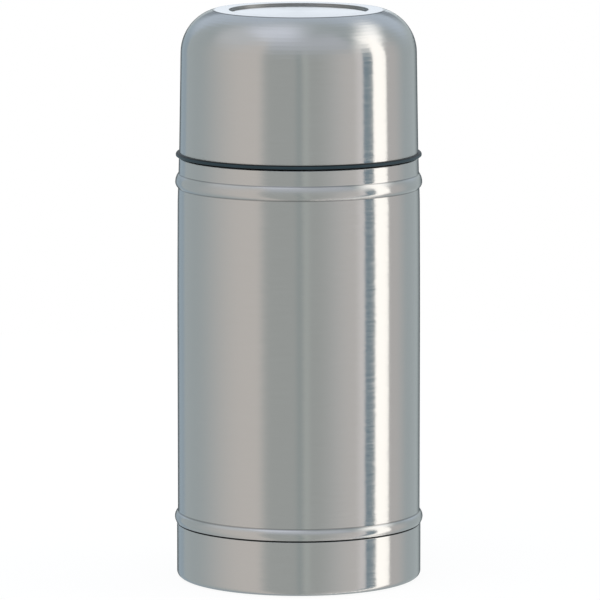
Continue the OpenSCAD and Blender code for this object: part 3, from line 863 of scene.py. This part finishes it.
def addFloor(f):
    a = np.arange(f["sides"]) * 2 * math.pi / f["sides"]
    height = np.full(f["sides"], f["z"])
    rim = np.stack([f["radius"] * np.cos(a), f["radius"] * np.sin(a), height], -1)
    mesh = bpy.data.meshes.new("floor")
    mesh.from_pydata(rim.tolist(), [], [list(range(f["sides"]))])
    obj = bpy.data.objects.new("floor", mesh)
    bpy.context.collection.objects.link(obj)
    material, tree, shader = newMaterial("paleFloor")
    path = tree.nodes.new("ShaderNodeLightPath")
    share = mathNode(tree, "MULTIPLY", path.outputs["Is Camera Ray"], f["seen"])
    diffuse = setInputs(tree, tree.nodes.new("ShaderNodeBsdfDiffuse"), Color=f["colour"])
    glow = setInputs(tree, tree.nodes.new("ShaderNodeEmission"), Strength=f["glow"])
    blend = setInputs(tree, tree.nodes.new("ShaderNodeMixShader"),
                      i0=share, i1=diffuse.outputs[0], i2=glow.outputs[0])
    tree.links.new(blend.outputs[0], tree.nodes["Material Output"].inputs["Surface"])
    mesh.materials.append(material)
    obj.visible_glossy = False     # polished sides show the studio down to the foot


addFloor(floor)

# studio

# Azimuth is in degrees from the camera's side, positive to the right. Each panel reaches
# from one azimuth to another and from one elevation to another, with soft edges: azimuths,
# softness of both ends, elevations, their softness, colour. Overhead panels are laid out in
# the same way by two angles from the zenith: sideways to the right, and forwards. Uprights
# lean a little: the azimuth shifts with elevation, up to a limit.
studio = {
    "room": (0.53, 0.59, 0.60),
    "lean": {"level": -8.2, "rate": 0.5, "most": 1.2},
    "wrap": (220.0, -140.0),       # azimuths run between these
    "panels": [
        ((197, 226), (8, 14), (-90, 24), 14, (0.41, 0.50, 0.565)),
        ((135, 225), (14, 14), (14, 64), 10, (0.65, 0.74, 0.84)),
        ((-86, -30), (34, 9), (-90, 52), 18, (0.82, 0.78, 0.735)),
        ((-34, 62), (8, 4), (28, 66), 16, (0.70, 0.735, 0.79)),
        ((-34, 38), (8, 20), (-90, 22), 10, (0.54, 0.565, 0.545)),
        ((-2, 3.5), (2, 1.5), (-90, 20), 8, (0.45, 0.50, 0.49)),
        ((5, 10), (1, 2), (-90, 20), 8, (0.60, 0.64, 0.61)),
        ((34, 66.2), (20, 0.4), (-90, 22), 10, (0.78, 0.755, 0.725)),
        ((59, 66.2), (5, 0.4), (-90, 16), 8, (0.98, 0.94, 0.92)),
        ((66.2, 77.5), (0.3, 0.4), (-90, 10), 6, (0.26, 0.35, 0.41)),
        ((74, 77.5), (3, 0.4), (-90, 10), 6, (0.36, 0.42, 0.44)),
        ((95.4, 116), (0.4, 12), (-90, 24), 12, (0.72, 0.70, 0.68)),
        ((62, 100), (8, 6), (20, 36), 8, (1.3, 1.28, 1.23)),
        ((76, 112), (8, 8), (30, 50), 8, (2.0, 1.96, 1.88)),
        ((104, 142), (12, 12), (40, 54), 7, (1.6, 1.6, 1.58)),
        ((77.8, 95.3), (0.4, 0.5), (-90, 40), 8, (1.93, 1.86, 1.75)),
        ((160, 198.5), (11, 5), (-16, 1.2), 0.5, (0.10, 0.12, 0.13)),
        ((165, 195), (8, 8), (9, 20), 1.5, (0.27, 0.31, 0.35)),
        ((176.5, 183.7), (0.8, 0.8), (1.2, 10), 0.5, (0.97, 1.04, 1.12)),
    ],
    "overhead": [
        ((-62, -26), (14, 10), (-24, 36), 16, (0.78, 0.81, 0.83)),
        ((-30, 2), (6, 12), (-14, 30), 16, (1.04, 1.09, 1.2)),
    ],
}


def makePanelGroup():
    group, given, out = newGroup(
        "softPanel",
        [("Azimuth", "Float", 0.0), ("Elevation", "Float", 0.0), ("From", "Float", 0.0),
         ("To", "Float", 1.0), ("Soft From", "Float", 1.0), ("Soft To", "Float", 1.0),
         ("Low", "Float", 0.0), ("High", "Float", 1.0), ("Fade", "Float", 1.0)],
        [("Mask", "Float")],
    )
    pin = given.outputs

    def ramp(value, edge, soft, start, stop):
        node = group.nodes.new("ShaderNodeMapRange")
        node.interpolation_type = "SMOOTHSTEP"
        low = mathNode(group, "SUBTRACT", pin[edge], pin[soft])
        high = mathNode(group, "ADD", pin[edge], pin[soft])
        setInputs(group, node, Value=pin[value], i1=low, i2=high, i3=start, i4=stop)
        return node.outputs[0]

    across = mathNode(group, "MULTIPLY", ramp("Azimuth", "From", "Soft From", 0.0, 1.0),
                      ramp("Azimuth", "To", "Soft To", 1.0, 0.0))
    upright = mathNode(group, "MULTIPLY", ramp("Elevation", "Low", "Fade", 0.0, 1.0),
                       ramp("Elevation", "High", "Fade", 1.0, 0.0))
    group.links.new(mathNode(group, "MULTIPLY", across, upright), out.inputs["Mask"])
    return group


# Each panel covers what was laid before it by its mask.
def addPanels(tree, panelGroup, panels, across, upright, colour):
    for (start, stop), (softStart, softStop), (low, high), fade, shade in panels:
        node = tree.nodes.new("ShaderNodeGroup")
        node.node_tree = panelGroup
        setInputs(tree, node, Azimuth=across, Elevation=upright, From=start, To=stop,
                  Soft_From=softStart, Soft_To=softStop, Low=low, High=high, Fade=fade)
        colour = mixColour(tree, node.outputs[0], colour, (*shade, 1))
    return colour


def addStudio(s):
    world = bpy.data.worlds.new("studio")
    bpy.context.scene.world = world
    world.use_nodes = True
    tree = world.node_tree
    panelGroup = makePanelGroup()
    parts = tree.nodes.new("ShaderNodeSeparateXYZ")
    setInputs(tree, parts, Vector=tree.nodes.new("ShaderNodeTexCoord").outputs["Generated"])
    x, y, z = parts.outputs
    ahead = mathNode(tree, "MULTIPLY", y, -1.0)

    def angle(a, b):
        return mathNode(tree, "DEGREES", mathNode(tree, "ARCTAN2", a, b))

    elevation = mathNode(tree, "DEGREES", mathNode(tree, "ARCSINE", z))
    tilt = s["lean"]
    above = mathNode(tree, "SUBTRACT", elevation, tilt["level"])
    lean = mathNode(tree, "MULTIPLY", above, tilt["rate"])
    lean = mathNode(tree, "MINIMUM", lean, tilt["most"])
    lean = mathNode(tree, "MAXIMUM", lean, -tilt["most"])
    azimuth = mathNode(tree, "WRAP", mathNode(tree, "ADD", angle(x, ahead), lean), *s["wrap"])
    colour = addPanels(tree, panelGroup, s["panels"], azimuth, elevation, (*s["room"], 1))
    colour = addPanels(tree, panelGroup, s["overhead"], angle(x, z), angle(ahead, z), colour)
    seen = tree.nodes.new("ShaderNodeLightPath").outputs
    white = mathNode(tree, "MAXIMUM", seen["Is Camera Ray"], seen["Is Transmission Ray"])
    setInputs(tree, tree.nodes["Background"], Strength=1.0,
              Color=mixColour(tree, white, colour, (1, 1, 1, 1)))


addStudio(studio)

softbox = {"location": (-0.28, -0.45, 1.5), "aim": (0, 0, 0.15), "size": (0.95, 0.75),
           "radiance": 1.0, "colour": (0.93, 0.94, 1.0)}


def addSoftbox(s):
    data = bpy.data.lights.new("softbox", "AREA")
    data.shape = "RECTANGLE"
    data.size, data.size_y = s["size"]
    data.energy = s["radiance"] * math.pi * data.size * data.size_y
    data.color = s["colour"]
    obj = bpy.data.objects.new("softbox", data)
    obj.location = s["location"]
    x, y, z = np.array(s["aim"]) - np.array(s["location"])
    obj.rotation_euler = (math.atan2(math.hypot(x, y), -z), 0, math.atan2(-x, y))
    obj.visible_camera = False
    obj.visible_glossy = False     # the overhead panel is what the steel shows
    bpy.context.collection.objects.link(obj)


addSoftbox(softbox)
print("studio ready")
